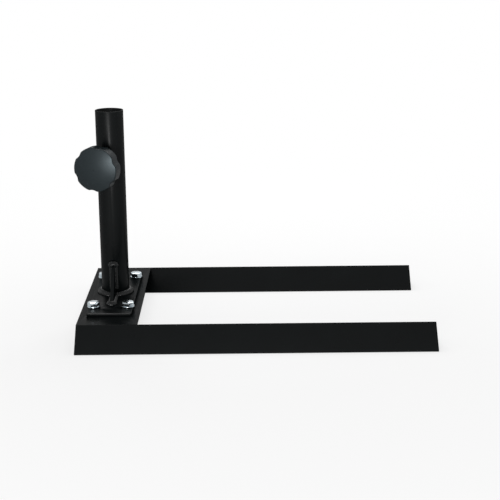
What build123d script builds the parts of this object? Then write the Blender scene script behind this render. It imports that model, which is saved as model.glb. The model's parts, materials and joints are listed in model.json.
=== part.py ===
"""Forked ground foot with an upright socket for a pole.

Two steel angles lie side by side with their heels upwards, so that each stands on its two toes.
A base plate is welded between their heels at one end.  A flange plate is bolted on top of it with
four hexagon bolts, and carries the socket tube, which is welded down and braced by two gussets.
A screw with a lobed knob goes through a nut on the tube and clamps the pole.

X runs along the legs, from the tube end to the free ends, Y runs across them, and Z is up.  Heights
are counted from the floor, and the pieces are lowered at the end so that the origin is on the
tube's axis, on the floor of the socket.  All sizes are in millimetres.
"""

import os
from math import cos, radians, sin, sqrt

from build123d import *

# Legs: hot-rolled equal angle, heel up
leg_length = 550.0
leg_spacing = 310.0  # from heel to heel
leg_flange = 50.0
leg_thickness = 4.0
leg_root_radius = 7.0
leg_toe_radius = 3.0
leg_heel_radius = 1.0

# Base plate, bevelled along both ends to sit between the heels
base_width = 93.0
base_thickness = 5.0

# Flange plate on the base plate
flange_width = 70.0
flange_length = 230.0
flange_thickness = 5.0
flange_corner_radius = 2.0

# Socket tube
tube_diameter = 44.5
tube_wall = 2.0
tube_length = 300.0

# Gussets, before and behind the tube
gusset_thickness = 5.0
gusset_reach = 48.0
gusset_height = 52.0
gusset_land = 3.5  # blunt end at the toe and at the top
gusset_snipe = 9.0  # corner cut away over the tube's weld

# Fillet welds, by their leg
tube_weld = 8.0
gusset_weld = 5.0
leg_weld = 5.0
nut_weld = 3.0

# Flange bolts
bolt_spacing_x = 54.0
bolt_spacing_y = 162.0
bolt_diameter = 10.0
bolt_hole_clearance = 0.5  # radial
bolt_length = 25.0
bolt_head_height = 6.4
bolt_end_chamfer = 1.0
hex_flats = 17.0
nut_height = 8.0
washer_diameter = 20.0
washer_thickness = 2.0
washer_clearance = 0.25  # radial

# Clamp screw, its nut and its knob
clamp_drop = 83.0  # of its axis below the tube's top
clamp_turn = 16.0  # degrees from straight ahead, away from the free ends of the legs
clamp_stud_diameter = 10.0
clamp_stud_clearance = 0.05  # radial, in the nut and in the knob's insert
clamp_hole_clearance = 0.5  # radial, in the tube's wall
clamp_stud_chamfer = 1.2
clamp_stud_reach = 17.5  # from the tip to the knob's hub
clamp_tip_setback = 0.3  # of the tip behind the bore's wall, with the screw slack
clamp_nut_flats = 17.0
clamp_nut_height = 8.0

knob_diameter = 70.0
knob_lobes = 6
knob_turn = -8.0  # of its first scallop from upright, in degrees about the clamp's axis
knob_scallop_radius = 13.0
knob_scallop_depth = 2.2
knob_lobe_rounding = 6.0
knob_head_height = 25.0
knob_dome_rise = 5.0
knob_edge_radius = 1.8
knob_back_radius = 1.5
knob_hub_diameter = 27.0
knob_hub_length = 9.0  # behind the head
knob_wall = 3.0
knob_face_thickness = 4.5
knob_rib_thickness = 2.4
knob_insert_diameter = 15.0
knob_insert_length = 18.0
knob_stud_depth = 17.0

# Places that follow from the sizes above
heel_height = (leg_flange + leg_thickness - 2 * leg_toe_radius) / sqrt(2) + leg_toe_radius
base_drop = leg_heel_radius * (sqrt(2) - 1)  # of the rounded heel below the sharp one
tube_radius = tube_diameter / 2
bore_radius = tube_radius - tube_wall
bolt_radius = bolt_diameter / 2
stud_radius = clamp_stud_diameter / 2 - clamp_stud_clearance
base_top = heel_height - base_drop
base_bottom = base_top - base_thickness
flange_top = base_top + flange_thickness
tube_top = flange_top + tube_length
clamp_height = tube_top - clamp_drop
clamp_nut_face = tube_radius + clamp_nut_height
stud_tip = bore_radius + clamp_tip_setback
hub_end = stud_tip + clamp_stud_reach
head_back = hub_end + knob_hub_length
stud_end = hub_end + knob_stud_depth
insert_end = hub_end + knob_insert_length

clamp_direction = (-sin(radians(clamp_turn)), -cos(radians(clamp_turn)), 0)
clamp_plane = Plane(origin=(0, 0, clamp_height), x_dir=(0, 0, 1), z_dir=clamp_direction)
bolt_corners = {
    "front_left": (-bolt_spacing_x / 2, -bolt_spacing_y / 2),
    "front_right": (bolt_spacing_x / 2, -bolt_spacing_y / 2),
    "rear_left": (-bolt_spacing_x / 2, bolt_spacing_y / 2),
    "rear_right": (bolt_spacing_x / 2, bolt_spacing_y / 2),
}
# As tightened, in degrees about each bolt's axis
bolt_turns = {"front_left": 8, "front_right": 41, "rear_left": 24, "rear_right": -13}
# Heading of each gusset in degrees about the tube
gusset_headings = {"front": -90, "rear": 90}


def rod(radius, low, high):
    """A round bar about Z, from one height to another."""
    return Pos(0, 0, low) * Cylinder(radius, high - low, align=(Align.CENTER, Align.CENTER, Align.MIN))


def turned(*outline):
    """A solid turned about Z from (radius, height) points."""
    return revolve(Plane.XZ * make_face(Polyline(*outline, close=True)), Axis.Z)


def across(*outline):
    """A face in the YZ plane from (Y, Z) points."""
    return Plane.YZ * make_face(Polyline(*outline, close=True))


def hexagon(flats, height, blunt_bottom):
    """A hexagonal blank standing on Z = 0, with its corners turned off at 30 degrees."""
    corner = flats / sqrt(3)
    cut = corner - 0.95 * flats / 2
    rise = cut / sqrt(3)
    foot = [(corner - cut, 0), (corner, rise)] if blunt_bottom else [(corner, 0)]
    envelope = turned((0, 0), *foot, (corner, height - rise), (corner - cut, height), (0, height))
    return extrude(RegularPolygon(corner, 6), height) & envelope


def leg():
    """An equal angle along X, heel up over Y = 0, standing on its toes."""
    size, wall = leg_flange, leg_thickness
    outline = Polyline((0, 0), (size, 0), (size, wall), (wall, wall), (wall, size), (0, size), close=True)
    section = make_face(outline)
    for corner, radius in (
        ((0, 0), leg_heel_radius),
        ((wall, wall), leg_root_radius),
        ((size, wall), leg_toe_radius),
        ((wall, size), leg_toe_radius),
    ):
        section = fillet(section.vertices().sort_by_distance(corner)[0], radius)
    standing = Pos(0, heel_height) * Rot(0, 0, -135) * section
    return Pos(-base_width / 2, 0, 0) * extrude(Plane.YZ * standing, leg_length)


def leg_bead(side):
    """The bead in the corner under the base plate, along one leg; the side is -1 or 1 in Y."""
    edge = side * (leg_spacing / 2 - base_drop - base_thickness)
    slant = leg_weld / sqrt(2)
    section = across(
        (edge, base_bottom), (edge - side * leg_weld, base_bottom), (edge - side * slant, base_bottom - slant)
    )
    return Pos(-base_width / 2, 0, 0) * extrude(section, base_width, dir=(1, 0, 0))


def bolt_holes(low, high):
    """The four clearance holes through a plate."""
    hole = rod(bolt_radius + bolt_hole_clearance, low, high)
    return [Pos(x, y, 0) * hole for x, y in bolt_corners.values()]


def base_plate():
    """The plate between the heels, with its ends bevelled to the slope of the legs."""
    top = leg_spacing / 2 - base_drop
    bottom = top - base_thickness
    section = across((-top, base_top), (-bottom, base_bottom), (bottom, base_bottom), (top, base_top))
    plate = Pos(-base_width / 2, 0, 0) * extrude(section, base_width, dir=(1, 0, 0))
    return plate - bolt_holes(base_bottom, base_top)


def flange_plate():
    """The bolted plate that carries the tube."""
    outline = RectangleRounded(flange_width, flange_length, flange_corner_radius)
    plate = Pos(0, 0, base_top) * extrude(outline, flange_thickness)
    return plate - bolt_holes(base_top, flange_top)


def socket_tube():
    """The upright tube, with the hole that the clamp screw passes through."""
    tube = rod(tube_radius, flange_top, tube_top) - rod(bore_radius, flange_top, tube_top)
    return tube - clamp_plane * rod(clamp_stud_diameter / 2 + clamp_hole_clearance, 0, tube_diameter)


def tube_foot_bead():
    """The fillet weld round the tube's foot."""
    ring = turned((tube_radius, 0), (tube_radius + tube_weld, 0), (tube_radius, tube_weld))
    return Pos(0, 0, flange_top) * ring


def gusset_rib():
    """A triangular rib against the tube, along X, standing on Z = 0."""
    outline = Polyline(
        (tube_radius + gusset_snipe, 0),
        (tube_radius + gusset_reach, 0),
        (tube_radius + gusset_reach, gusset_land),
        (tube_radius + gusset_land, gusset_height),
        (0, gusset_height),
        (0, gusset_snipe),
        (tube_radius, gusset_snipe),
        close=True,
    )
    rib = extrude(Plane.XZ * make_face(outline), gusset_thickness / 2, both=True)
    return (rib - rod(tube_radius, 0, gusset_height)).solids().sort_by(Axis.X)[-1]


def gusset_foot_bead():
    """The weld along both sides of a rib's foot and round its toe."""
    length = gusset_reach - gusset_snipe + gusset_weld
    middle = tube_radius + gusset_snipe + length / 2
    footprint = Pos(middle, 0) * Rectangle(length, gusset_thickness + 2 * gusset_weld)
    return extrude(footprint, gusset_weld, taper=45) - gusset_rib()


def gusset_tube_bead():
    """The weld along both sides of a rib where it meets the tube, and over its top."""
    length = gusset_height - gusset_snipe + gusset_weld
    footprint = Rectangle(length, gusset_thickness + 2 * gusset_weld)
    middle = (tube_radius, 0, gusset_snipe + length / 2)
    wall = Plane(origin=middle, x_dir=(0, 0, 1), z_dir=(1, 0, 0))
    bead = wall * (extrude(footprint, gusset_weld, taper=45) + extrude(footprint, -gusset_thickness))
    return bead - rod(tube_radius, 0, gusset_height + 2 * gusset_weld) - gusset_rib()


def hex_bolt():
    """A bolt with its head's seat at Z = 0 and its shank below."""
    tip = bolt_radius - bolt_end_chamfer
    shank = turned(
        (0, 0),
        (bolt_radius, 0),
        (bolt_radius, bolt_end_chamfer - bolt_length),
        (tip, -bolt_length),
        (0, -bolt_length),
    )
    return hexagon(hex_flats, bolt_head_height, blunt_bottom=False) + shank


def washer():
    """A flat washer standing on Z = 0."""
    hole = rod(bolt_radius + washer_clearance, 0, washer_thickness)
    return rod(washer_diameter / 2, 0, washer_thickness) - hole


def nut():
    """A nut standing on Z = 0, whose thread is left plain at the bolt's size."""
    return hexagon(hex_flats, nut_height, blunt_bottom=True) - rod(bolt_radius, 0, nut_height)


def clamp_nut_blank():
    """The welded nut before it is bored, saddled on to the tube, about the clamp's axis."""
    outer = Pos(0, 0, tube_radius) * hexagon(clamp_nut_flats, clamp_nut_height, blunt_bottom=False)
    inner = Pos(0, 0, tube_radius / 2) * extrude(
        RegularPolygon(clamp_nut_flats / sqrt(3), 6), tube_radius / 2
    )
    return outer + inner


def clamp_nut():
    """The nut on the tube's side that the clamp screw turns in."""
    bored = clamp_nut_blank() - rod(clamp_stud_diameter / 2, 0, clamp_nut_face)
    nut_on_tube = clamp_plane * bored - rod(tube_radius, flange_top, tube_top)
    return nut_on_tube.solids().sort_by_distance(clamp_plane.origin)[0]


def clamp_nut_bead():
    """The weld round the nut, where it meets the tube."""
    foot = clamp_nut_flats / sqrt(3) + nut_weld
    cone = turned(
        (0, tube_radius / 2),
        (foot, tube_radius / 2),
        (foot, tube_radius - nut_weld / 2),
        (foot - nut_weld, tube_radius + nut_weld),
        (0, tube_radius + nut_weld),
    )
    bead = clamp_plane * (cone - clamp_nut_blank()) - rod(tube_radius, flange_top, tube_top)
    return bead.solids().sort_by(SortBy.VOLUME)[-1]


def clamp_stud():
    """The clamp screw's stud, with a chamfered tip."""
    tip = stud_radius - clamp_stud_chamfer
    return clamp_plane * turned(
        (0, stud_tip),
        (tip, stud_tip),
        (stud_radius, stud_tip + clamp_stud_chamfer),
        (stud_radius, stud_end),
        (0, stud_end),
    )


def knob_insert():
    """The metal bush moulded into the knob, blind at its far end."""
    bush = rod(knob_insert_diameter / 2, hub_end, insert_end)
    return clamp_plane * (bush - rod(clamp_stud_diameter / 2, hub_end, stud_end))


def knob_outline(inset):
    """The lobed outline of the knob's head, drawn in by an inset all round."""
    radius = knob_diameter / 2
    scallop_centre = radius - knob_scallop_depth + knob_scallop_radius
    pitch = 360 / knob_lobes
    scallop = Circle(knob_scallop_radius + inset)
    disc = Circle(radius - inset)
    lobed = disc - [Rot(0, 0, pitch * i) * Pos(scallop_centre, 0) * scallop for i in range(knob_lobes)]
    return fillet(lobed.vertices(), knob_lobe_rounding)


def clamp_knob():
    """The moulded knob: a domed head with lobes, cored out from behind between its ribs, and a hub."""
    radius = knob_diameter / 2
    head_front = head_back + knob_head_height
    head = Pos(0, 0, head_back) * extrude(knob_outline(0), knob_head_height)
    dome_radius = (radius**2 + knob_dome_rise**2) / (2 * knob_dome_rise)
    head &= Pos(0, 0, head_front - dome_radius) * Sphere(dome_radius)
    head = fillet(head.faces().sort_by(Axis.Z)[-1].edges(), knob_edge_radius)
    head = fillet(head.faces().sort_by(Axis.Z)[0].edges(), knob_back_radius)

    core_top = head_front - knob_dome_rise - knob_face_thickness
    core = Pos(0, 0, head_back) * extrude(knob_outline(knob_wall), core_top - head_back)
    core -= rod(knob_hub_diameter / 2, head_back, core_top)
    rib = Pos(0, 0, head_back) * Box(
        radius, knob_rib_thickness, core_top - head_back, align=(Align.MIN, Align.CENTER, Align.MIN)
    )
    lobe_pitch = 360 / knob_lobes
    core -= [Rot(0, 0, lobe_pitch * (i + 0.5)) * rib for i in range(knob_lobes)]

    knob = head - core + rod(knob_hub_diameter / 2, hub_end, core_top)
    knob -= rod(knob_insert_diameter / 2, hub_end, insert_end)
    return clamp_plane * Rot(0, 0, knob_turn) * knob


def pieces():
    """Every piece by its node's name."""
    made = {
        "front_leg": Pos(0, -leg_spacing / 2, 0) * leg(),
        "rear_leg": Pos(0, leg_spacing / 2, 0) * leg(),
        "front_leg_weld": leg_bead(-1),
        "rear_leg_weld": leg_bead(1),
        "base_plate": base_plate(),
        "flange_plate": flange_plate(),
        "socket_tube": socket_tube(),
        "tube_foot_weld": tube_foot_bead(),
        "clamp_nut": clamp_nut(),
        "clamp_nut_weld": clamp_nut_bead(),
        "clamp_stud": clamp_stud(),
        "knob_insert": knob_insert(),
        "clamp_knob": clamp_knob(),
    }
    for side, heading in gusset_headings.items():
        place = Pos(0, 0, flange_top) * Rot(0, 0, heading)
        made[f"{side}_gusset"] = place * gusset_rib()
        made[f"{side}_gusset_foot_weld"] = place * gusset_foot_bead()
        made[f"{side}_gusset_tube_weld"] = place * gusset_tube_bead()
    bolt_seat = flange_top + washer_thickness
    nut_seat = base_bottom - washer_thickness
    for corner, (x, y) in bolt_corners.items():
        turn = Rot(0, 0, bolt_turns[corner])
        made[f"bolt_{corner}"] = Pos(x, y, bolt_seat) * turn * hex_bolt()
        made[f"top_washer_{corner}"] = Pos(x, y, flange_top) * washer()
        made[f"under_washer_{corner}"] = Pos(x, y, nut_seat) * washer()
        made[f"nut_{corner}"] = Pos(x, y, nut_seat - nut_height) * turn * nut()
    return made


os.makedirs("parts", exist_ok=True)
for name, shape in pieces().items():
    export_step(Pos(0, 0, -flange_top) * shape, f"parts/{name}.step")
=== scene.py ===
"""Dresses the forked ground foot: powder coat, zinc hardware, rippled welds, threads and knob."""

import json
import random
from math import cos, radians, sin, sqrt, tau

import bmesh
import bpy
from bpy.props import FloatProperty, FloatVectorProperty, IntProperty, PointerProperty
from mathutils import Matrix, Vector


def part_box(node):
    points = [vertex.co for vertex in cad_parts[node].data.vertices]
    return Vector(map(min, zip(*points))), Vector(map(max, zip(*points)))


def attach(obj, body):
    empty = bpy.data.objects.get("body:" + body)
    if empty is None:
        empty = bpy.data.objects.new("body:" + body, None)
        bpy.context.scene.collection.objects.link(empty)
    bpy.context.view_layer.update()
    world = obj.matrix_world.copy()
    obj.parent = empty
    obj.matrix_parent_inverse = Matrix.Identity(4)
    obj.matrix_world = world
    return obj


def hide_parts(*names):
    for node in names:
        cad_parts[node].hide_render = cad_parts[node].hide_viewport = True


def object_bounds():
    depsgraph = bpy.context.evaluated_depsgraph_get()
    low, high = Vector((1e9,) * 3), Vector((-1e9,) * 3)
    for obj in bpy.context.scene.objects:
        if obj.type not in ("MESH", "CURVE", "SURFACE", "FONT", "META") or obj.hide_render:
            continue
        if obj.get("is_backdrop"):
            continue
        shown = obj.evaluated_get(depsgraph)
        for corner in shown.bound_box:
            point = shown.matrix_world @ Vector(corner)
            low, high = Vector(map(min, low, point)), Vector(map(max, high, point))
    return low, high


bl_info = {
    "name": "Forked ground foot",
    "version": (1, 0, 0),
    "blender": (4, 5, 0),
    "location": "View3D > Sidebar > Ground foot",
    "description": "Finishes, welds, threads and a studio for a forked ground foot",
    "category": "Object",
}

MM = 0.001
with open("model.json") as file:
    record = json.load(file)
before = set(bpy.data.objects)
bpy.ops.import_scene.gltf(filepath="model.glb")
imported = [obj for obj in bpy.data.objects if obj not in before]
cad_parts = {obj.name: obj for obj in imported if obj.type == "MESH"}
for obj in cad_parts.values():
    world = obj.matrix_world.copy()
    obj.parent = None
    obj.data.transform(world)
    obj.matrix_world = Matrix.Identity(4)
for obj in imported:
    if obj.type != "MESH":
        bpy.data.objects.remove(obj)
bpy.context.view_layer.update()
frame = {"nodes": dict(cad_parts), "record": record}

CORNERS = ("front_left", "front_right", "rear_left", "rear_right")
SIDES = {"front": -90, "rear": 90}
PLATES = ("base_plate", "flange_plate", "socket_tube")
LEGS = ("front_leg", "rear_leg")

MERGE_DISTANCE = 0.001 * MM  # within which two points are one

THREAD_STEPS = 36  # in each turn of a thread
THREAD_FOOT = 0.46  # half width of a thread's foot, as a share of its pitch
THREAD_CREST = 0.08  # half width of its crest
THREAD_DEPTH = 0.55  # depth of its groove
THREAD_SUNK = 0.05  # depth of its foot in the bar's core
THREAD_RUN_OUT = 0.85  # share of its height that the chamfer takes before it stops
BOLT_RADIUS = 5 * MM
BOLT_CHAMFER = 1.0 * MM
STUD_CHAMFER = 1.2 * MM

RIPPLE_OVERLAP = 1.5  # half length of a ripple, in pitches of the ripples
RIPPLE_LEAST = 0.5  # half length of a ripple, at least, in legs of the weld
RIPPLE_SIZES = (0.93, 1.05)  # smallest and largest, as shares of the mean
RIPPLE_SWING = 8  # degrees that a ripple may turn to either side
RIPPLE_LEAN = -14  # degrees that a ripple leans along the weld
NUT_RING = 0.96  # of the clamp nut's half height, where its weld runs

FLOOR_COLOUR = (0.82, 0.82, 0.82, 1)
FLOOR_ROUGHNESS = 0.9
GLOW_NEAR = 0.72  # share of the floor's white that is its own glow, near the part
GLOW_RADII = (0.35, 1.3)  # metres from the part at which the glow starts to grow and is whole
WHITE = (1, 1, 1, 1)
SENSOR_WIDTH = 36  # millimetres


def joint(name):
    """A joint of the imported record, by name."""
    joints = frame["record"]["behaviour"]["joints"]
    return next(entry for entry in joints if entry["name"] == name)


CLAMP_AXIS = Vector(joint("knob_turn")["axis"]).normalized()
CLAMP_HEIGHT = joint("knob_turn")["pos_m"][2]


def extent(node, direction):
    """The lowest and highest reach of a CAD node along a direction."""
    reach = [vertex.co.dot(direction) for vertex in frame["nodes"][node].data.vertices]
    return min(reach), max(reach)


class CoatSettings(bpy.types.PropertyGroup):
    """The black powder coat."""

    colour: FloatVectorProperty(
        name="Colour", description="Colour of the powder coat", subtype="COLOR", size=3,
        min=0, max=1, default=(0.0026, 0.0034, 0.0036),
    )
    roughness: FloatProperty(
        name="Roughness", description="Mean roughness of the coat", default=0.30, min=0, max=1
    )
    shine: FloatProperty(
        name="Shine", description="Specular level of the coat seen square on", default=0.11,
        min=0, max=1,
    )
    peel: FloatProperty(
        name="Orange peel", description="Width of the ripples in the coat", default=1.6 * MM,
        unit="LENGTH", subtype="DISTANCE",
    )
    peel_depth: FloatProperty(
        name="Peel depth", description="Depth of the ripples in the coat", default=0.02 * MM,
        unit="LENGTH", subtype="DISTANCE",
    )
    edge: FloatProperty(
        name="Edge rounding", description="Rounding of the coated edges", default=0.5 * MM,
        unit="LENGTH", subtype="DISTANCE",
    )


class HardwareSettings(bpy.types.PropertyGroup):
    """The zinc-plated bolts, nuts, washers and stud."""

    colour: FloatVectorProperty(
        name="Colour", description="Colour of the zinc", subtype="COLOR", size=3,
        min=0, max=1, default=(0.48, 0.52, 0.53),
    )
    tint: FloatVectorProperty(
        name="Passivation", description="Colour that the zinc drifts towards", subtype="COLOR",
        size=3, min=0, max=1, default=(0.34, 0.40, 0.44),
    )
    roughness: FloatProperty(
        name="Roughness", description="Roughness of the zinc", default=0.18, min=0, max=1
    )
    edge: FloatProperty(
        name="Edge rounding", description="Rounding of the hexagons' edges", default=0.3 * MM,
        unit="LENGTH", subtype="DISTANCE",
    )
    thread_pitch: FloatProperty(
        name="Thread pitch", description="Pitch of every thread", default=1.5 * MM,
        unit="LENGTH", subtype="DISTANCE",
    )


class WeldSettings(bpy.types.PropertyGroup):
    """The weld beads."""

    tube: FloatProperty(
        name="Tube weld", description="Leg of the weld round the tube's foot", default=8.0 * MM,
        unit="LENGTH", subtype="DISTANCE",
    )
    gusset: FloatProperty(
        name="Gusset weld", description="Leg of the welds on the gussets", default=5.0 * MM,
        unit="LENGTH", subtype="DISTANCE",
    )
    lump: FloatProperty(
        name="Weld ends", description="Leg of the lumps at the top and the toe of each gusset",
        default=7.0 * MM, unit="LENGTH", subtype="DISTANCE",
    )
    nut: FloatProperty(
        name="Nut weld", description="Leg of the weld round the clamp nut", default=3.0 * MM,
        unit="LENGTH", subtype="DISTANCE",
    )
    leg: FloatProperty(
        name="Leg weld", description="Leg of the welds under the base plate", default=4.5 * MM,
        unit="LENGTH", subtype="DISTANCE",
    )
    ripple: FloatProperty(
        name="Ripple pitch", description="Spacing of the ripples as a share of the weld's leg",
        default=0.36, min=0.2, max=1,
    )


class KnobSettings(bpy.types.PropertyGroup):
    """The clamp knob."""

    colour: FloatVectorProperty(
        name="Colour", description="Colour of the knob's plastic", subtype="COLOR", size=3,
        min=0, max=1, default=(0.0048, 0.0075, 0.0088),
    )
    roughness: FloatProperty(
        name="Roughness", description="Roughness of the plastic", default=0.36, min=0, max=1
    )
    shine: FloatProperty(
        name="Shine", description="Specular level of the plastic seen square on", default=0.4,
        min=0, max=1,
    )
    sheen: FloatVectorProperty(
        name="Sheen", description="Tint of the plastic's reflection", subtype="COLOR", size=3,
        min=0, max=1, default=(0.80, 0.94, 1.0),
    )
    brass: FloatVectorProperty(
        name="Insert", description="Colour of the insert", subtype="COLOR", size=3,
        min=0, max=1, default=(0.72, 0.52, 0.24),
    )


class StudioSettings(bpy.types.PropertyGroup):
    """The camera and the lamps."""

    distance: FloatProperty(
        name="Distance", description="From the camera to the point it looks at", default=1.993,
        unit="LENGTH", subtype="DISTANCE",
    )
    elevation: FloatProperty(
        name="Elevation", description="Of the camera above the level", default=radians(15.45),
        subtype="ANGLE",
    )
    heading: FloatProperty(
        name="Heading", description="Of the camera's view, clockwise from square on",
        default=radians(0.42), subtype="ANGLE",
    )
    roll: FloatProperty(
        name="Roll", description="Of the camera", default=radians(-0.43), subtype="ANGLE"
    )
    lens: FloatProperty(
        name="Lens", description="Focal length in millimetres", default=88.0, min=1
    )
    aim: FloatVectorProperty(
        name="Aim", description="Point that the camera looks at", size=3, subtype="XYZ",
        unit="LENGTH", default=(0.221, 0.0, 0.0683),
    )
    key: FloatProperty(
        name="Key", description="Power of the high rear lamp in watts", default=34.0, min=0
    )
    fill: FloatProperty(
        name="Fill", description="Power of each side lamp in watts", default=7.0, min=0
    )
    front: FloatProperty(
        name="Front", description="Power of the front lamp in watts", default=30.0, min=0
    )
    sky: FloatProperty(name="Sky", description="Strength of the surroundings", default=0.3, min=0)
    floor_size: FloatProperty(
        name="Floor", description="Side of the floor", default=30.0, unit="LENGTH",
        subtype="DISTANCE",
    )
    seed: IntProperty(name="Seed", description="Of the small irregularities", default=7, min=0)


# Materials --------------------------------------------------------------------------------


def new_material(name):
    """An empty node material with a shader joined to its output."""
    material = bpy.data.materials.new(name)
    material.use_nodes = True
    nodes = material.node_tree.nodes
    nodes.clear()
    shader = nodes.new("ShaderNodeBsdfPrincipled")
    output = nodes.new("ShaderNodeOutputMaterial")
    material.node_tree.links.new(shader.outputs["BSDF"], output.inputs["Surface"])
    return material, shader


def surface_group():
    """Fine relief and slow drift, shared by every finish on the object."""
    name = "Fine relief"
    if name in bpy.data.node_groups:
        return bpy.data.node_groups[name]
    group = bpy.data.node_groups.new(name, "ShaderNodeTree")
    for label in ("Relief scale", "Drift scale", "Low", "High"):
        group.interface.new_socket(name=label, in_out="INPUT", socket_type="NodeSocketFloat")
    for label in ("Height", "Drift", "Roughness"):
        group.interface.new_socket(name=label, in_out="OUTPUT", socket_type="NodeSocketFloat")
    nodes, links = group.nodes, group.links
    given = nodes.new("NodeGroupInput")
    result = nodes.new("NodeGroupOutput")
    place = nodes.new("ShaderNodeTexCoord")
    relief = nodes.new("ShaderNodeTexNoise")
    relief.inputs["Detail"].default_value = 2.0
    drift = nodes.new("ShaderNodeTexNoise")
    drift.inputs["Detail"].default_value = 5.0
    drift.inputs["Roughness"].default_value = 0.62
    spread = nodes.new("ShaderNodeMapRange")
    spread.inputs["From Min"].default_value = 0.3
    spread.inputs["From Max"].default_value = 0.7
    links.new(place.outputs["Object"], relief.inputs["Vector"])
    links.new(place.outputs["Object"], drift.inputs["Vector"])
    links.new(given.outputs["Relief scale"], relief.inputs["Scale"])
    links.new(given.outputs["Drift scale"], drift.inputs["Scale"])
    links.new(drift.outputs["Fac"], spread.inputs["Value"])
    links.new(given.outputs["Low"], spread.inputs["To Min"])
    links.new(given.outputs["High"], spread.inputs["To Max"])
    links.new(relief.outputs["Fac"], result.inputs["Height"])
    links.new(drift.outputs["Fac"], result.inputs["Drift"])
    links.new(spread.outputs["Result"], result.inputs["Roughness"])
    return group


def add_surface(material, shader, relief_scale, depth, drift_scale, low, high):
    """Puts the shared relief and drift on a material, and gives the group's node."""
    nodes, links = material.node_tree.nodes, material.node_tree.links
    surface = nodes.new("ShaderNodeGroup")
    surface.node_tree = surface_group()
    surface.inputs["Relief scale"].default_value = relief_scale
    surface.inputs["Drift scale"].default_value = drift_scale
    surface.inputs["Low"].default_value = low
    surface.inputs["High"].default_value = high
    bump = nodes.new("ShaderNodeBump")
    bump.inputs["Strength"].default_value = 1.0
    bump.inputs["Distance"].default_value = depth
    links.new(surface.outputs["Height"], bump.inputs["Height"])
    links.new(bump.outputs["Normal"], shader.inputs["Normal"])
    links.new(surface.outputs["Roughness"], shader.inputs["Roughness"])
    return surface


def drift_colour(material, shader, surface, first, second):
    """Lets the base colour wander between two colours with the slow drift."""
    nodes, links = material.node_tree.nodes, material.node_tree.links
    blend = nodes.new("ShaderNodeMix")
    blend.data_type = "RGBA"
    blend.inputs["A"].default_value = (*first, 1)
    blend.inputs["B"].default_value = (*second, 1)
    links.new(surface.outputs["Drift"], blend.inputs["Factor"])
    links.new(blend.outputs["Result"], shader.inputs["Base Color"])


def maths(tree, operation, first, second):
    """The result of a sum in a node tree, of sockets or plain numbers, kept between 0 and 1."""
    node = tree.nodes.new("ShaderNodeMath")
    node.operation = operation
    node.use_clamp = True
    for socket, value in zip(node.inputs, (first, second)):
        if isinstance(value, float):
            socket.default_value = value
        else:
            tree.links.new(value, socket)
    return node.outputs[0]


def dull_grazing(material, shader, shine, power):
    """Lets the reflection fall off where a surface is seen edge-on, as on a fine texture."""
    tree = material.node_tree
    weight = tree.nodes.new("ShaderNodeLayerWeight")
    facing = maths(tree, "SUBTRACT", 1.0, weight.outputs["Facing"])
    falloff = maths(tree, "POWER", facing, power)
    level = maths(tree, "MULTIPLY", falloff, shine)
    tree.links.new(level, shader.inputs["Specular IOR Level"])


def coat_material(settings):
    """Semi-gloss black powder coat with a little orange peel."""
    if "Powder coat" in bpy.data.materials:
        return bpy.data.materials["Powder coat"]
    material, shader = new_material("Powder coat")
    surface = add_surface(
        material, shader, relief_scale=1 / settings.peel, depth=settings.peel_depth,
        drift_scale=18, low=settings.roughness - 0.05, high=settings.roughness + 0.07,
    )
    colour = Vector(settings.colour)
    drift_colour(material, shader, surface, colour * 0.8, colour * 1.25)
    dull_grazing(material, shader, settings.shine, power=2.0)
    return material


def weld_material(settings):
    """The same powder coat, thicker and glossier over the ripples of a weld."""
    if "Coated weld" in bpy.data.materials:
        return bpy.data.materials["Coated weld"]
    material, shader = new_material("Coated weld")
    surface = add_surface(
        material, shader, relief_scale=2 / settings.peel, depth=settings.peel_depth * 3,
        drift_scale=40, low=settings.roughness * 0.35, high=settings.roughness * 0.65,
    )
    colour = Vector(settings.colour)
    drift_colour(material, shader, surface, colour * 0.8, colour * 1.4)
    dull_grazing(material, shader, settings.shine * 2.2, power=1.5)
    return material


def zinc_material(settings):
    """Bright zinc plate with a faint bluish passivation."""
    if "Zinc plate" in bpy.data.materials:
        return bpy.data.materials["Zinc plate"]
    material, shader = new_material("Zinc plate")
    surface = add_surface(
        material, shader, relief_scale=900, depth=0.02 * MM, drift_scale=120,
        low=settings.roughness - 0.06, high=settings.roughness + 0.1,
    )
    drift_colour(material, shader, surface, settings.colour, settings.tint)
    shader.inputs["Metallic"].default_value = 1.0
    return material


def plastic_material(settings):
    """Finely spark-eroded black plastic."""
    material, shader = new_material("Moulded plastic")
    surface = add_surface(
        material, shader, relief_scale=2200, depth=0.025 * MM, drift_scale=60,
        low=settings.roughness - 0.04, high=settings.roughness + 0.06,
    )
    colour = Vector(settings.colour)
    drift_colour(material, shader, surface, colour * 0.85, colour * 1.2)
    shader.inputs["Specular Tint"].default_value = (*settings.sheen, 1)
    dull_grazing(material, shader, settings.shine, power=2.0)
    return material


def brass_material(settings):
    """Turned brass."""
    material, shader = new_material("Turned brass")
    surface = add_surface(
        material, shader, relief_scale=1500, depth=0.02 * MM, drift_scale=90, low=0.22, high=0.38
    )
    colour = Vector(settings.brass)
    drift_colour(material, shader, surface, colour, colour * 0.8)
    shader.inputs["Metallic"].default_value = 1.0
    return material


# Shapes -----------------------------------------------------------------------------------


def finish_piece(name, bm, material, body, replaced, sharp=32):
    """Makes an object of a bmesh, smooth but for its sharp edges, and fixes it to a body."""
    mesh = bpy.data.meshes.new(name)
    bm.to_mesh(mesh)
    bm.free()
    mesh.materials.append(material)
    mesh.shade_smooth()
    mesh.set_sharp_from_angle(angle=radians(sharp))
    piece = bpy.data.objects.new(name, mesh)
    bpy.context.scene.collection.objects.link(piece)
    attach(piece, body)
    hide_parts(*replaced)
    return piece


def body_of(node):
    """The body that a CAD node belongs to."""
    bodies = frame["record"]["behaviour"]["bodies"]
    return next(body for body, nodes in bodies.items() if node in nodes)


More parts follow.
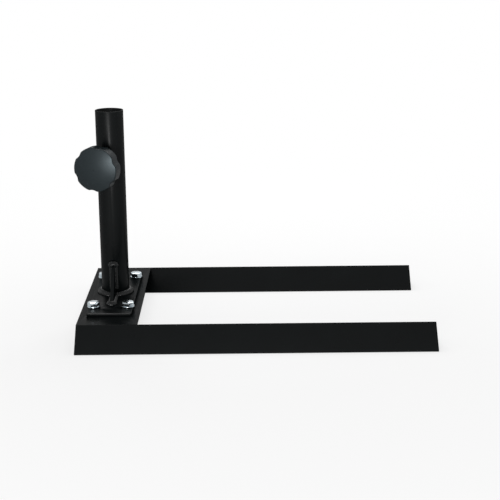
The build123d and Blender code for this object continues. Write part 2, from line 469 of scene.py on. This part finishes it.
def merged_copy(node):
    """A bmesh of a CAD node with its triangles joined and its flat faces made whole."""
    bm = bmesh.new()
    bm.from_mesh(frame["nodes"][node].data)
    bmesh.ops.remove_doubles(bm, verts=bm.verts, dist=MERGE_DISTANCE)
    bmesh.ops.dissolve_limit(bm, angle_limit=radians(0.5), verts=bm.verts, edges=bm.edges)
    return bm


def round_edges(bm, width, over=40, segments=2):
    """Rounds every edge that is sharper than an angle in degrees."""
    edges = [e for e in bm.edges if e.is_manifold and e.calc_face_angle(0) > radians(over)]
    bmesh.ops.bevel(
        bm, geom=edges, offset=width, offset_type="OFFSET", segments=segments, profile=0.5,
        affect="EDGES", clamp_overlap=True, material=-1,
    )


def finished_copy(node, label, width, material, over=40):
    """A node with its edges rounded, in place of the plain one."""
    bm = merged_copy(node)
    if width:
        round_edges(bm, width, over)
    return finish_piece(label, bm, material, body_of(node), [node])


def axis_matrix(origin, along):
    """A matrix that stands the Z axis along a direction at a point."""
    turn = Vector(along).to_track_quat("Z", "Y").to_matrix().to_4x4()
    return Matrix.Translation(origin) @ turn


def absorb(bm, other):
    """Adds a bmesh to another and frees it."""
    mesh = bpy.data.meshes.new("absorbed")
    other.to_mesh(mesh)
    other.free()
    bm.from_mesh(mesh)
    bpy.data.meshes.remove(mesh)


def turned_core(radius, tip_radius, length):
    """A bmesh of a plain bar along Z from 0 to its length, chamfered at its far end."""
    bm = bmesh.new()
    shoulder = length - (radius - tip_radius)
    outline = ((0, 0), (radius, 0), (radius, shoulder), (tip_radius, length), (0, length))
    points = [bm.verts.new((x, 0, z)) for x, z in outline]
    edges = [bm.edges.new(pair) for pair in zip(points, points[1:])]
    bmesh.ops.spin(
        bm, geom=points + edges, cent=(0, 0, 0), axis=(0, 0, 1), angle=tau, steps=THREAD_STEPS,
        use_merge=True,
    )
    bmesh.ops.remove_doubles(bm, verts=bm.verts, dist=MERGE_DISTANCE)
    bmesh.ops.recalc_face_normals(bm, faces=bm.faces)
    return bm


def cut_flat(bm, height, side):
    """Cuts away what lies beyond a level plane, on its upper side (1) or lower side (-1)."""
    bmesh.ops.bisect_plane(
        bm, geom=bm.verts[:] + bm.edges[:] + bm.faces[:], plane_co=(0, 0, height),
        plane_no=(0, 0, side), clear_outer=True, dist=MERGE_DISTANCE,
    )
    bmesh.ops.dissolve_degenerate(bm, dist=2 * MERGE_DISTANCE, edges=bm.edges)
    rim = [edge for edge in bm.edges if edge.is_boundary]
    bmesh.ops.holes_fill(bm, edges=rim, sides=0)


def thread_ridge(radius, foot_radius, length, pitch, chamfer):
    """A bmesh of a thread's ridge along Z from 0 to its length, chamfered at its far end."""
    bm = bmesh.new()
    turns = length / pitch + 2
    steps = int(turns * THREAD_STEPS)
    foot, crest = THREAD_FOOT * pitch, THREAD_CREST * pitch
    outline = ((foot_radius, -foot), (radius, -crest), (radius, crest), (foot_radius, foot))
    profile = [bm.verts.new((x, 0, z - pitch)) for x, z in outline]
    loop = [bm.edges.new((profile[i], profile[i - 1])) for i in range(len(profile))]
    bmesh.ops.spin(
        bm, geom=profile + loop, cent=(0, 0, 0), axis=(0, 0, 1), angle=tau * turns,
        dvec=(0, 0, pitch * turns / steps), steps=steps, use_merge=False,
    )
    cut_flat(bm, 0, -1)
    cut_flat(bm, length - chamfer + THREAD_RUN_OUT * (radius - foot_radius), 1)
    bmesh.ops.recalc_face_normals(bm, faces=bm.faces)
    for vertex in bm.verts:
        limit = radius - max(0, vertex.co.z - (length - chamfer))
        across = sqrt(vertex.co.x**2 + vertex.co.y**2)
        if across > limit:
            vertex.co.x *= limit / across
            vertex.co.y *= limit / across
    return bm


def threaded_bar(bm, place, radius, length, pitch, chamfer):
    """Adds a bar with a thread along Z from 0 to its length, chamfered at its far end."""
    root = radius - THREAD_DEPTH * pitch
    bar = turned_core(root, radius - chamfer, length)
    foot_radius = root - THREAD_SUNK * pitch
    absorb(bar, thread_ridge(radius, foot_radius, length, pitch, chamfer))
    bmesh.ops.transform(bar, matrix=place, verts=bar.verts)
    absorb(bm, bar)


def lay_bead(bm, spots, leg, ripple, rng, width=0.85, proud=0.56, sunk=0.36):
    """Lays overlapping ripples of weld at spots, each a (point, direction, outward) triple.

    A ripple's half width, its half height and the height of its middle are shares of the leg.
    """
    for point, along, outward in spots:
        side = Vector(outward).cross(along).normalized()
        along = side.cross(outward)
        axes = Matrix((along, side, outward)).transposed().to_4x4()
        size = leg * rng.uniform(*RIPPLE_SIZES)
        reach = max(RIPPLE_OVERLAP * ripple, RIPPLE_LEAST) * leg
        stretch = Matrix.Diagonal((reach, width * size, proud * size, 1))
        swing = Matrix.Rotation(radians(rng.uniform(-RIPPLE_SWING, RIPPLE_SWING)), 4, "Z")
        lean = Matrix.Rotation(radians(RIPPLE_LEAN), 4, "Y")
        centre = Matrix.Translation(Vector(point) + Vector(outward) * sunk * leg)
        bmesh.ops.create_icosphere(
            bm, subdivisions=2, radius=1.0, matrix=centre @ axes @ swing @ lean @ stretch
        )


def keep_in_wall(bm, radius, floor):
    """Pushes the hidden side of a bead back into the tube's wall and the plate."""
    for vertex in bm.verts:
        across = sqrt(vertex.co.x**2 + vertex.co.y**2)
        if across < radius:
            vertex.co.x *= radius / across
            vertex.co.y *= radius / across
        vertex.co.z = max(vertex.co.z, floor)


def line_spots(start, end, outward, pitch):
    """Spots along a straight weld."""
    start, end, outward = Vector(start), Vector(end), Vector(outward).normalized()
    count = max(1, round((end - start).length / pitch))
    along = (end - start).normalized()
    return [(start.lerp(end, (i + 0.5) / count), along, outward) for i in range(count)]


def turn_round(centre, half, ahead, across, pitch, face=(0, 0, 1)):
    """Spots on a half circle round the end of a plate, leaning towards the face it is on."""
    centre, ahead, across, face = Vector(centre), Vector(ahead), Vector(across), Vector(face)
    arc = tau / 2
    count = max(5, round(arc * half / pitch) + 3)
    spots = []
    for i in range(count):
        angle = ((i + 0.5) / count - 0.5) * arc
        outward = ahead * cos(angle) + across * sin(angle)
        along = across * cos(angle) - ahead * sin(angle)
        point = centre + outward * half - ahead * half / 2
        spots.append((point, along, (outward + face).normalized()))
    return spots


def turn_spots(spots, matrix):
    """Spots moved by a matrix."""
    turn = matrix.to_3x3()
    return [(matrix @ point, turn @ along, turn @ outward) for point, along, outward in spots]


# Operators --------------------------------------------------------------------------------


class FootOperator:
    """What the operators have in common."""

    bl_options = {"REGISTER", "UNDO"}

    @property
    def foot(self):
        return bpy.context.scene.ground_foot


class GROUND_FOOT_OT_steel(FootOperator, bpy.types.Operator):
    """Round the edges of the legs, plates, tube, gussets and clamp nut, and coat them"""

    bl_idname = "ground_foot.steel"
    bl_label = "Coated steel"

    def execute(self, context):
        coat = self.foot.coat
        material = coat_material(coat)
        for node in (*LEGS, *PLATES, *(f"{side}_gusset" for side in SIDES), "clamp_nut"):
            finished_copy(node, f"coated_{node}", coat.edge, material)
        return {"FINISHED"}


class GROUND_FOOT_OT_welds(FootOperator, bpy.types.Operator):
    """Lay rippled beads in place of the plain welds"""

    bl_idname = "ground_foot.welds"
    bl_label = "Welds"

    def finish(self, node, runs, on_tube=True, **form):
        """Makes a weld of runs, each its spots and its leg, in place of the plain one."""
        bm = bmesh.new()
        for spots, leg in runs:
            lay_bead(bm, spots, leg, self.foot.weld.ripple, self.rng, **form)
        if on_tube:
            bore = frame["record"]["mounts"][0]["dims"]["r_mm"] * MM
            keep_in_wall(bm, (self.radius + bore) / 2, floor=self.plate_depth)
        material = weld_material(self.foot.coat)
        finish_piece(
            f"rippled_{node}", bm, material, body_of(node), [node], sharp=180
        )

    def tube_foot(self, radius, leg):
        pitch = leg * self.foot.weld.ripple
        count = round(tau * radius / pitch)
        spots = []
        for i in range(count):
            radial = Vector((cos(tau * i / count), sin(tau * i / count), 0))
            along = Vector((-radial.y, radial.x, 0))
            spots.append((radial * radius, along, (radial + Vector((0, 0, 1))).normalized()))
        self.finish("tube_foot_weld", [(spots, leg)])

    def gusset(self, side, heading, radius, leg):
        gusset_low, gusset_high = (Vector(corner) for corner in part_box(f"{side}_gusset"))
        radial = Matrix.Rotation(radians(heading), 3, "Z") @ Vector((1, 0, 0))
        toe = extent(f"{side}_gusset", radial)[1]
        start = extent(f"{side}_gusset_foot_weld", radial)[0]
        low = extent(f"{side}_gusset_tube_weld", Vector((0, 0, 1)))[0]
        size = gusset_high - gusset_low
        half = min(size.x, size.y) / 2
        top = gusset_high.z
        pitch = leg * self.foot.weld.ripple
        place = Matrix.Rotation(radians(heading), 4, "Z")

        lump = self.foot.weld.lump
        lump_pitch = lump * self.foot.weld.ripple
        start += leg / 2
        left = line_spots((start, -half, 0), (toe, -half, 0), (0, -1, 1), pitch)
        right = line_spots((toe, half, 0), (start, half, 0), (0, 1, 1), pitch)
        end = turn_round((toe, 0, 0), half, (1, 0, 0), (0, 1, 0), lump_pitch)
        runs = [(turn_spots(left + right, place), leg), (turn_spots(end, place), lump)]
        self.finish(f"{side}_gusset_foot_weld", runs)

        face = sqrt(radius**2 - half**2)
        low += leg / 2
        left = line_spots((face, -half, low), (face, -half, top), (1, -1, 0), pitch)
        right = line_spots((face, half, top), (face, half, low), (1, 1, 0), pitch)
        end = turn_round(
            (radius, 0, top), half, (0, 0, 1), (0, 1, 0), lump_pitch, face=(1, 0, 0)
        )
        runs = [(turn_spots(left + right, place), leg), (turn_spots(end, place), lump)]
        self.finish(f"{side}_gusset_tube_weld", runs)

    def clamp_nut(self, radius, leg):
        level = CLAMP_AXIS.cross(Vector((0, 0, 1))).normalized()
        upright = Vector((0, 0, 1))
        ring = (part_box("clamp_nut")[1][2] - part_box("clamp_nut")[0][2]) / 2 * NUT_RING
        count = round(tau * ring / (leg * self.foot.weld.ripple))
        spots = []
        for i in range(count):
            angle = tau * i / count
            outward = level * cos(angle) + upright * sin(angle)
            reach = sqrt(radius**2 - (ring * cos(angle)) ** 2)
            point = CLAMP_AXIS * reach + outward * ring + upright * CLAMP_HEIGHT
            along = upright * cos(angle) - level * sin(angle)
            spots.append((point, along, (outward + CLAMP_AXIS).normalized()))
        self.finish("clamp_nut_weld", [(spots, leg)])

    def leg_bead(self, side, leg):
        node = f"{side}_leg_weld"
        low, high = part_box(node)
        sign = -1 if side == "front" else 1
        edge = low[1] if side == "front" else high[1]
        tilt = radians(22.5)  # halfway between the plate and the sloping flange
        outward = Vector((0, -sign * cos(tilt), -sin(tilt)))
        corner = Vector((0, edge, high[2])) + outward * leg / 4
        start, end = corner + Vector((low[0], 0, 0)), corner + Vector((high[0], 0, 0))
        spots = line_spots(start, end, outward, leg * self.foot.weld.ripple)[1:-1]
        self.finish(node, [(spots, leg)], on_tube=False, width=0.42, proud=0.5, sunk=0.3)

    def execute(self, context):
        weld = self.foot.weld
        self.rng = random.Random(self.foot.studio.seed)
        radius = self.radius = (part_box("socket_tube")[1][0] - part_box("socket_tube")[0][0]) / 2
        self.plate_depth = -2 * MM  # as deep as a bead reaches into the flange plate
        self.tube_foot(radius, weld.tube)
        self.clamp_nut(radius, weld.nut)
        for side, heading in SIDES.items():
            self.gusset(side, heading, radius, weld.gusset)
        for side in ("front", "rear"):
            self.leg_bead(side, weld.leg)
        return {"FINISHED"}


class GROUND_FOOT_OT_hardware(FootOperator, bpy.types.Operator):
    """Round the bolts, nuts and washers, thread the bolts' ends, and plate them"""

    bl_idname = "ground_foot.hardware"
    bl_label = "Bolts, nuts and washers"

    def execute(self, context):
        hardware = self.foot.hardware
        material = zinc_material(hardware)
        for corner in CORNERS:
            for part in ("top_washer", "under_washer", "nut"):
                node = f"{part}_{corner}"
                finished_copy(node, f"plated_{node}", hardware.edge, material, over=50)
            self.bolt(f"bolt_{corner}", f"nut_{corner}", material)
        return {"FINISHED"}

    def bolt(self, node, nut, material):
        hardware = self.foot.hardware
        bm = merged_copy(node)
        cut = (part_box(nut)[0][2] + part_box(nut)[1][2]) / 2
        bmesh.ops.bisect_plane(
            bm, geom=bm.verts[:] + bm.edges[:] + bm.faces[:], plane_co=(0, 0, cut),
            plane_no=(0, 0, -1), clear_outer=True, dist=MERGE_DISTANCE,
        )
        bmesh.ops.holes_fill(bm, edges=[e for e in bm.edges if e.is_boundary], sides=0)
        round_edges(bm, hardware.edge, over=50)
        low, high = (Vector(corner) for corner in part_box(node))
        middle = (low + high) / 2
        place = axis_matrix((middle.x, middle.y, cut), (0, 0, -1))
        length = cut - low.z
        threaded_bar(bm, place, BOLT_RADIUS, length, hardware.thread_pitch, BOLT_CHAMFER)
        finish_piece(f"plated_{node}", bm, material, body_of(node), [node])


class GROUND_FOOT_OT_clamp(FootOperator, bpy.types.Operator):
    """Thread the clamp's stud, and finish its knob and insert"""

    bl_idname = "ground_foot.clamp"
    bl_label = "Clamp screw and knob"

    def execute(self, context):
        hardware, knob = self.foot.hardware, self.foot.knob
        tip, end = extent("clamp_stud", CLAMP_AXIS)
        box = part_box("clamp_stud")
        radius = (box[1][2] - box[0][2]) / 2
        bm = bmesh.new()
        start = CLAMP_AXIS * end + Vector((0, 0, CLAMP_HEIGHT))
        threaded_bar(
            bm, axis_matrix(start, -CLAMP_AXIS), radius, end - tip, hardware.thread_pitch,
            STUD_CHAMFER,
        )
        finish_piece(
            "threaded_clamp_stud", bm, zinc_material(hardware), body_of("clamp_stud"),
            ["clamp_stud"],
        )
        finished_copy("clamp_knob", "moulded_clamp_knob", 0, plastic_material(knob))
        finished_copy(
            "knob_insert", "turned_knob_insert", hardware.edge, brass_material(knob)
        )
        return {"FINISHED"}


class GROUND_FOOT_OT_stage(FootOperator, bpy.types.Operator):
    """Set up the floor, the lamps, the surroundings and the camera"""

    bl_idname = "ground_foot.stage"
    bl_label = "Stage"

    def execute(self, context):
        studio = self.foot.studio
        self.floor(studio)
        self.surroundings(studio)
        self.lamps(studio)
        self.camera(studio)
        context.scene.view_settings.view_transform = "Standard"
        return {"FINISHED"}

    def seen(self, tree):
        """A value that is 1 where the camera, a reflection or clear glass looks."""
        path = tree.nodes.new("ShaderNodeLightPath").outputs
        eye = maths(tree, "ADD", path["Is Camera Ray"], path["Is Glossy Ray"])
        return maths(tree, "ADD", eye, path["Is Transmission Ray"])

    def floor(self, studio):
        bm = bmesh.new()
        low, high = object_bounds()
        middle = Matrix.Translation(((low[0] + high[0]) / 2, (low[1] + high[1]) / 2, low[2]))
        bmesh.ops.create_grid(
            bm, x_segments=1, y_segments=1, size=studio.floor_size / 2, matrix=middle
        )
        mesh = bpy.data.meshes.new("studio_floor")
        bm.to_mesh(mesh)
        bm.free()
        floor = bpy.data.objects.new("studio_floor", mesh)
        bpy.context.scene.collection.objects.link(floor)
        floor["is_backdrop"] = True

        material, shader = new_material("Studio floor")
        mesh.materials.append(material)
        tree = material.node_tree
        shader.inputs["Base Color"].default_value = FLOOR_COLOUR
        shader.inputs["Roughness"].default_value = FLOOR_ROUGHNESS
        glow = tree.nodes.new("ShaderNodeEmission")
        glow.inputs["Strength"].default_value = 1.0
        place = tree.nodes.new("ShaderNodeTexCoord")
        away = tree.nodes.new("ShaderNodeVectorMath")
        away.operation = "DISTANCE"
        away.inputs[1].default_value = middle.translation
        fade = tree.nodes.new("ShaderNodeMapRange")
        fade.inputs["From Min"].default_value, fade.inputs["From Max"].default_value = GLOW_RADII
        fade.inputs["To Min"].default_value = GLOW_NEAR
        tree.links.new(place.outputs["Object"], away.inputs[0])
        tree.links.new(away.outputs["Value"], fade.inputs["Value"])
        blend = tree.nodes.new("ShaderNodeMixShader")
        share = maths(tree, "MULTIPLY", self.seen(tree), fade.outputs["Result"])
        tree.links.new(share, blend.inputs["Fac"])
        tree.links.new(shader.outputs["BSDF"], blend.inputs[1])
        tree.links.new(glow.outputs["Emission"], blend.inputs[2])
        output = next(node for node in tree.nodes if node.type == "OUTPUT_MATERIAL")
        tree.links.new(blend.outputs["Shader"], output.inputs["Surface"])

    def surroundings(self, studio):
        world = bpy.data.worlds.new("Studio")
        bpy.context.scene.world = world
        world.use_nodes = True
        tree = world.node_tree
        tree.nodes.clear()
        soft = tree.nodes.new("ShaderNodeBackground")
        soft.inputs["Strength"].default_value = studio.sky
        white = tree.nodes.new("ShaderNodeBackground")
        for background in (soft, white):
            background.inputs["Color"].default_value = WHITE
        blend = tree.nodes.new("ShaderNodeMixShader")
        output = tree.nodes.new("ShaderNodeOutputWorld")
        tree.links.new(self.seen(tree), blend.inputs["Fac"])
        tree.links.new(soft.outputs["Background"], blend.inputs[1])
        tree.links.new(white.outputs["Background"], blend.inputs[2])
        tree.links.new(blend.outputs["Shader"], output.inputs["Surface"])

    def lamps(self, studio):
        middle = (Vector(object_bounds()[0]) + Vector(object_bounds()[1])) / 2
        for name, offset, width, height, power in (  # metres from the part's middle, and watts
            ("high_rear", (0.0, 1.3, 1.5), 1.8, 1.2, studio.key),
            ("left", (-2.2, 0.3, 1.1), 1.6, 1.2, studio.fill),
            ("right", (2.2, 0.3, 1.1), 1.6, 1.2, studio.fill),
            ("front", (-0.5, -2.35, 0.14), 0.8, 0.55, studio.front),
        ):
            data = bpy.data.lights.new(name, "AREA")
            data.shape = "RECTANGLE"
            data.size = width
            data.size_y = height
            data.energy = power
            lamp = bpy.data.objects.new(name, data)
            lamp.matrix_world = axis_matrix(middle + Vector(offset), offset)
            bpy.context.scene.collection.objects.link(lamp)

    def camera(self, studio):
        data = bpy.data.cameras.new("camera")
        data.lens = studio.lens
        data.sensor_width = SENSOR_WIDTH
        ahead = Vector(
            (
                sin(studio.heading) * cos(studio.elevation),
                cos(studio.heading) * cos(studio.elevation),
                -sin(studio.elevation),
            )
        )
        right = Vector((cos(studio.heading), -sin(studio.heading), 0))
        up = right.cross(ahead)
        level = right * cos(studio.roll) + up * sin(studio.roll)
        upright = up * cos(studio.roll) - right * sin(studio.roll)
        turn = Matrix((level, upright, -ahead)).transposed().to_4x4()
        camera = bpy.data.objects.new("camera", data)
        place = Matrix.Translation(Vector(studio.aim) - ahead * studio.distance)
        camera.matrix_world = place @ turn
        bpy.context.scene.collection.objects.link(camera)
        bpy.context.scene.camera = camera


class FootSettings(bpy.types.PropertyGroup):
    """Every setting of the ground foot."""

    coat: PointerProperty(type=CoatSettings)
    hardware: PointerProperty(type=HardwareSettings)
    weld: PointerProperty(type=WeldSettings)
    knob: PointerProperty(type=KnobSettings)
    studio: PointerProperty(type=StudioSettings)


OPERATORS = (
    GROUND_FOOT_OT_steel,
    GROUND_FOOT_OT_welds,
    GROUND_FOOT_OT_hardware,
    GROUND_FOOT_OT_clamp,
    GROUND_FOOT_OT_stage,
)


class GROUND_FOOT_PT_panel(bpy.types.Panel):
    """Buttons for each group of pieces, with its settings"""

    bl_idname = "GROUND_FOOT_PT_panel"
    bl_label = "Ground foot"
    bl_space_type = "VIEW_3D"
    bl_region_type = "UI"
    bl_category = "Ground foot"

    def draw(self, context):
        foot = context.scene.ground_foot
        for operator in OPERATORS:
            self.layout.operator(operator.bl_idname)
        for group in (foot.coat, foot.hardware, foot.weld, foot.knob, foot.studio):
            box = self.layout.box()
            for setting in group.bl_rna.properties:
                if setting.identifier not in {"rna_type", "name"}:
                    box.prop(group, setting.identifier)


CLASSES = (
    CoatSettings,
    HardwareSettings,
    WeldSettings,
    KnobSettings,
    StudioSettings,
    FootSettings,
    *OPERATORS,
    GROUND_FOOT_PT_panel,
)


def register():
    for item in CLASSES:
        bpy.utils.register_class(item)
    bpy.types.Scene.ground_foot = PointerProperty(type=FootSettings)


def unregister():
    del bpy.types.Scene.ground_foot
    for item in reversed(CLASSES):
        bpy.utils.unregister_class(item)


def main():
    register()
    bpy.ops.ground_foot.steel()
    bpy.ops.ground_foot.welds()
    bpy.ops.ground_foot.hardware()
    bpy.ops.ground_foot.clamp()
    bpy.ops.ground_foot.stage()


if __name__ == "__main__":
    main()
